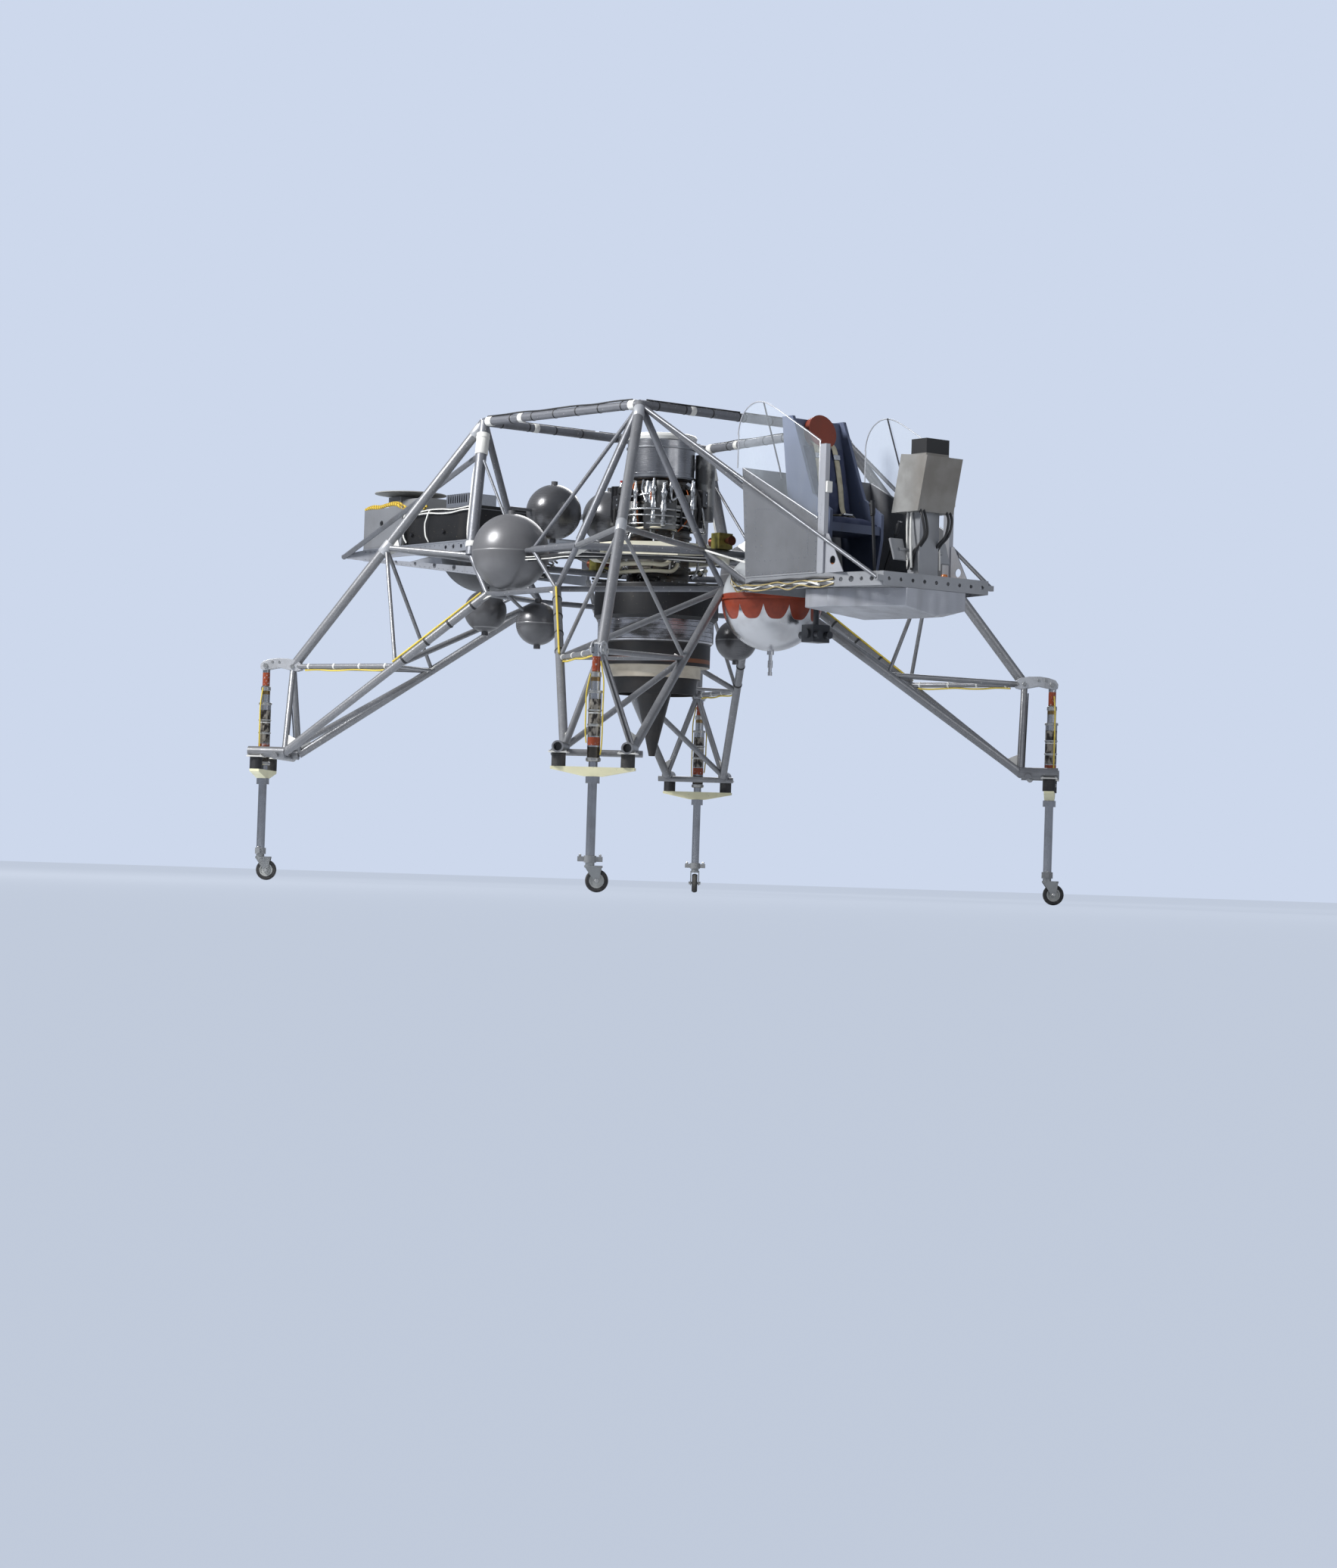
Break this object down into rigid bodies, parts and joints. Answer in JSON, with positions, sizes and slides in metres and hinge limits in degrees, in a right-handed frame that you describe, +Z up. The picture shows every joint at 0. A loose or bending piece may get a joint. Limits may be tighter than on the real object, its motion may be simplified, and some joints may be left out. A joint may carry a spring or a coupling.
{
  "type": "lunar landing research vehicle",
  "caption": "Open tube-frame lunar landing trainer: an upright jet engine in a gimbal ring, truss legs on casters, an open cockpit in front and an equipment platform behind.",
  "frame": {"origin": "on the ground under the middle of the bounding box", "axes": "+X forward towards the cockpit, +Y to port, +Z up"},
  "size_m": [6.79, 4.5196, 3.401],
  "materials": {
    "frame_tube": "satin light grey, worn",
    "dark_tube": "satin dark grey",
    "leg_tube": "satin grey",
    "bracket_white": "satin off-white",
    "bracket_grey": "satin grey",
    "strut_metal": "polished",
    "block_rubber": "matt",
    "caster_steel": "satin",
    "hub_paint": "satin grey",
    "tyre_rubber": "matt",
    "engine_silver": "satin",
    "engine_black": "satin black",
    "tank_grey": "gloss dark grey",
    "tank_silver": "polished",
    "cockpit_metal": "satin sheet",
    "window_clear": "clear",
    "seat_cloth": "dark blue-grey padding",
    "headrest_orange": "orange padding",
    "console_grey": "satin grey",
    "platform_grey": "satin grey",
    "box_black": "satin black",
    "thruster_olive": "yellow-green primer"
  },
  "bodies": {
    "airframe": {"antenna_disc": "bracket_white", "antenna_stand": "platform_grey", "attitude_thrusters": "thruster_olive", "avionics_box": "box_black", "bay_panels": "bracket_white", "carrier_struts": "frame_tube", "centre_frame": "frame_tube", "centre_posts": "dark_tube", "cockpit_bulkhead": "cockpit_metal", "cockpit_floor": "cockpit_metal", "cockpit_posts": "bracket_grey", "cockpit_struts": "frame_tube", "console_pedestal": "bracket_grey", "control_sticks": "bracket_grey", "equipment_pod": "box_black", "finned_unit": "bracket_white", "floor_fairing": "cockpit_metal", "front_tank": "tank_silver", "gas_bottles": "tank_grey", "gimbal_bearings": "bracket_grey", "headrest": "headrest_orange", "instrument_console": "console_grey", "leg_arms": "leg_tube", "leg_heads": "bracket_white", "leg_truss_front_port": "leg_tube", "leg_truss_front_starboard": "leg_tube", "leg_truss_rear_port": "leg_tube", "leg_truss_rear_starboard": "leg_tube", "platform_beams": "platform_grey", "platform_deck": "platform_grey", "platform_struts": "frame_tube", "rubber_blocks": "block_rubber", "seat": "seat_cloth", "shock_struts": "strut_metal", "side_panels": "cockpit_metal", "side_tanks": "tank_grey", "side_windows": "window_clear", "spreader_beams": "bracket_white", "top_ring": "dark_tube", "valve_cluster": "bracket_grey"},
    "gimbal": {"gimbal_ring": "bracket_white"},
    "engine": {"engine_accessories": "engine_silver", "engine_core": "engine_silver", "engine_intake": "engine_silver", "engine_tailpipe": "engine_black", "fan_cowl": "engine_black"},
    "caster_front_port": {"caster_fork_front_port": "caster_steel"},
    "wheel_front_port": {"wheel_hub_front_port": "hub_paint", "tyre_front_port": "tyre_rubber"},
    "caster_front_starboard": {"caster_fork_front_starboard": "caster_steel"},
    "wheel_front_starboard": {"wheel_hub_front_starboard": "hub_paint", "tyre_front_starboard": "tyre_rubber"},
    "caster_rear_port": {"caster_fork_rear_port": "caster_steel"},
    "wheel_rear_port": {"wheel_hub_rear_port": "hub_paint", "tyre_rear_port": "tyre_rubber"},
    "caster_rear_starboard": {"caster_fork_rear_starboard": "caster_steel"},
    "wheel_rear_starboard": {"wheel_hub_rear_starboard": "hub_paint", "tyre_rear_starboard": "tyre_rubber"}
  },
  "joints": [
    {"name": "gimbal_pitch", "type": "hinge", "parent": "airframe", "child": "gimbal", "pos_m": [0.325, 0, 2.45], "axis": [0, 1, 0], "range_deg": [-40, 40]},
    {"name": "engine_roll", "type": "hinge", "parent": "gimbal", "child": "engine", "pos_m": [0.325, 0, 2.45], "axis": [1, 0, 0], "range_deg": [-15, 15]},
    {"name": "swivel_front_port", "type": "hinge", "parent": "airframe", "child": "caster_front_port", "pos_m": [2.355, 2.03, 0.19], "axis": [0, 0, 1], "continuous": true},
    {"name": "wheel_spin_front_port", "type": "hinge", "parent": "caster_front_port", "child": "wheel_front_port", "pos_m": [2.38394, 2.06704, 0.075], "axis": [-0.788, 0.6157, 0], "continuous": true},
    {"name": "swivel_front_starboard", "type": "hinge", "parent": "airframe", "child": "caster_front_starboard", "pos_m": [2.355, -2.03, 0.19], "axis": [0, 0, 1], "continuous": true},
    {"name": "wheel_spin_front_starboard", "type": "hinge", "parent": "caster_front_starboard", "child": "wheel_front_starboard", "pos_m": [2.38394, -1.99296, 0.075], "axis": [-0.788, 0.6157, 0], "continuous": true},
    {"name": "swivel_rear_port", "type": "hinge", "parent": "airframe", "child": "caster_rear_port", "pos_m": [-1.705, 2.03, 0.19], "axis": [0, 0, 1], "continuous": true},
    {"name": "wheel_spin_rear_port", "type": "hinge", "parent": "caster_rear_port", "child": "wheel_rear_port", "pos_m": [-1.66796, 2.00106, 0.075], "axis": [0.6157, 0.788, 0], "continuous": true},
    {"name": "swivel_rear_starboard", "type": "hinge", "parent": "airframe", "child": "caster_rear_starboard", "pos_m": [-1.705, -2.03, 0.19], "axis": [0, 0, 1], "continuous": true},
    {"name": "wheel_spin_rear_starboard", "type": "hinge", "parent": "caster_rear_starboard", "child": "wheel_rear_starboard", "pos_m": [-1.67606, -1.99296, 0.075], "axis": [-0.788, 0.6157, 0], "continuous": true}
  ]
}
